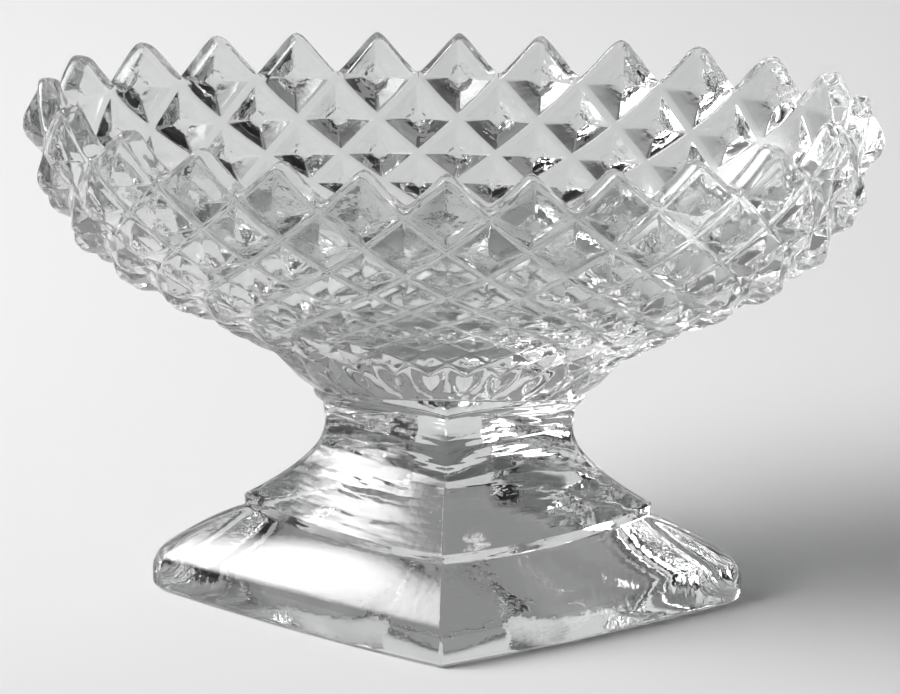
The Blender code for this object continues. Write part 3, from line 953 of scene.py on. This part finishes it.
class NUTDISH_OT_studio(bpy.types.Operator):
    """Set up the pale floor, the soft studio light and the camera"""
    bl_idname = "nut_dish.studio"
    bl_label = "Studio"

    def execute(self, context):
        look = context.scene.nut_dish.studio
        self.add_floor(context, look)
        self.add_light(context, look)
        self.add_camera(context, look)
        context.scene.view_settings.view_transform = "Standard"
        cycles = context.scene.cycles
        cycles.max_bounces = GLASS_BOUNCES
        cycles.transmission_bounces = GLASS_BOUNCES
        cycles.glossy_bounces = MIRROR_BOUNCES
        cycles.transparent_max_bounces = GLASS_BOUNCES
        return {"FINISHED"}

    def add_floor(self, context, look):
        mesh = bmesh.new()
        bmesh.ops.create_circle(mesh, cap_ends=True, segments=FLOOR_SEGMENTS, radius=look.floor_radius)
        bmesh.ops.translate(mesh, verts=list(mesh.verts), vec=(0.0, 0.0, TABLE - look.floor_gap))
        data = bpy.data.meshes.new("floor")
        mesh.to_mesh(data)
        mesh.free()
        data.materials.append(paper_sheet(look))
        floor = bpy.data.objects.new("floor", data)
        context.scene.collection.objects.link(floor)

    def add_light(self, context, look):
        world = bpy.data.worlds.new("studio")
        context.scene.world = world
        world.use_nodes = True
        tree = world.node_tree
        shader = tree.nodes["Background"]
        towards = add_node(tree, "ShaderNodeTexCoord").outputs["Generated"]
        backwards = add_node(tree, "ShaderNodeVectorMath", {"operation": "DOT_PRODUCT"}, {
            0: towards, 1: WALL_DIRECTION})
        lit = smooth_step(tree, backwards.outputs["Value"], WALL_START, WALL_FULL)
        tree.links.new(blend(tree, lit, look.dusk_tone, look.wall_tone), shader.inputs["Color"])
        lamp = bpy.data.lights.new("key_softbox", "AREA")
        lamp.shape = "SQUARE"
        lamp.size = look.key_size
        lamp.energy = look.key_watts
        lamp.use_nodes = True
        tree = lamp.node_tree
        on_cloth = add_node(tree, "ShaderNodeNewGeometry").outputs["Parametric"]
        from_middle = add_node(tree, "ShaderNodeVectorMath", {"operation": "DISTANCE"}, {
            0: on_cloth, 1: CLOTH_MIDDLE})
        glow = smooth_step(tree, from_middle.outputs["Value"], CLOTH_EDGE, CLOTH_EDGE * look.key_core)
        tree.links.new(glow, tree.nodes["Emission"].inputs["Strength"])
        stand = bpy.data.objects.new("key_softbox", lamp)
        stand.location = look.key_place
        aim = Vector((0.0, 0.0, look.aim)) - stand.location
        stand.rotation_euler = aim.to_track_quat("-Z", "Y").to_euler()
        context.scene.collection.objects.link(stand)

    def add_camera(self, context, look):
        data = bpy.data.cameras.new("camera")
        data.sensor_fit = "HORIZONTAL"
        data.sensor_width = PICTURE_WIDTH
        data.lens = look.lens
        data.dof.use_dof = False
        data.clip_start = NEAREST_SEEN
        data.clip_end = FARTHEST_SEEN
        camera = bpy.data.objects.new("camera", data)
        level = math.cos(look.elevation)
        back = Vector((math.sin(look.azimuth) * level, -math.cos(look.azimuth) * level,
                       math.sin(look.elevation)))
        camera.location = Vector((0.0, 0.0, look.aim)) + back * look.distance
        facing = (-back).to_track_quat("-Z", "Y").to_matrix()
        camera.rotation_euler = (facing @ Matrix.Rotation(look.roll, 3, "Z")).to_euler()
        context.scene.collection.objects.link(camera)
        context.scene.camera = camera


class NUTDISH_PT_sidebar(bpy.types.Panel):
    """Lists the dish's pieces and the studio, each with its sizes"""
    bl_idname = "NUTDISH_PT_sidebar"
    bl_label = "Nut dish"
    bl_space_type = "VIEW_3D"
    bl_region_type = "UI"
    bl_category = "Nut dish"

    def draw(self, context):
        dish = context.scene.nut_dish
        for operator, groups in ((NUTDISH_OT_foot, [dish.foot]), (NUTDISH_OT_stem, [dish.stem]),
                                 (NUTDISH_OT_wafer, [dish.wafer]),
                                 (NUTDISH_OT_bowl, [dish.bowl, dish.glass]),
                                 (NUTDISH_OT_studio, [dish.studio])):
            box = self.layout.box()
            box.operator(operator.bl_idname)
            for group in groups:
                for name in group.__annotations__:
                    box.prop(group, name)


CLASSES = (
    FootSizes, StemSizes, WaferSizes, BowlSizes, GlassLook, StudioLook, DishSettings,
    NUTDISH_OT_foot, NUTDISH_OT_stem, NUTDISH_OT_wafer, NUTDISH_OT_bowl, NUTDISH_OT_studio,
    NUTDISH_PT_sidebar,
)


def register():
    for kind in CLASSES:
        bpy.utils.register_class(kind)
    bpy.types.Scene.nut_dish = PointerProperty(type=DishSettings)


def unregister():
    del bpy.types.Scene.nut_dish
    for kind in reversed(CLASSES):
        bpy.utils.unregister_class(kind)


def main():
    register()
    bpy.ops.nut_dish.foot()
    bpy.ops.nut_dish.stem()
    bpy.ops.nut_dish.wafer()
    bpy.ops.nut_dish.bowl()
    bpy.ops.nut_dish.studio()


if __name__ == "__main__":
    main()
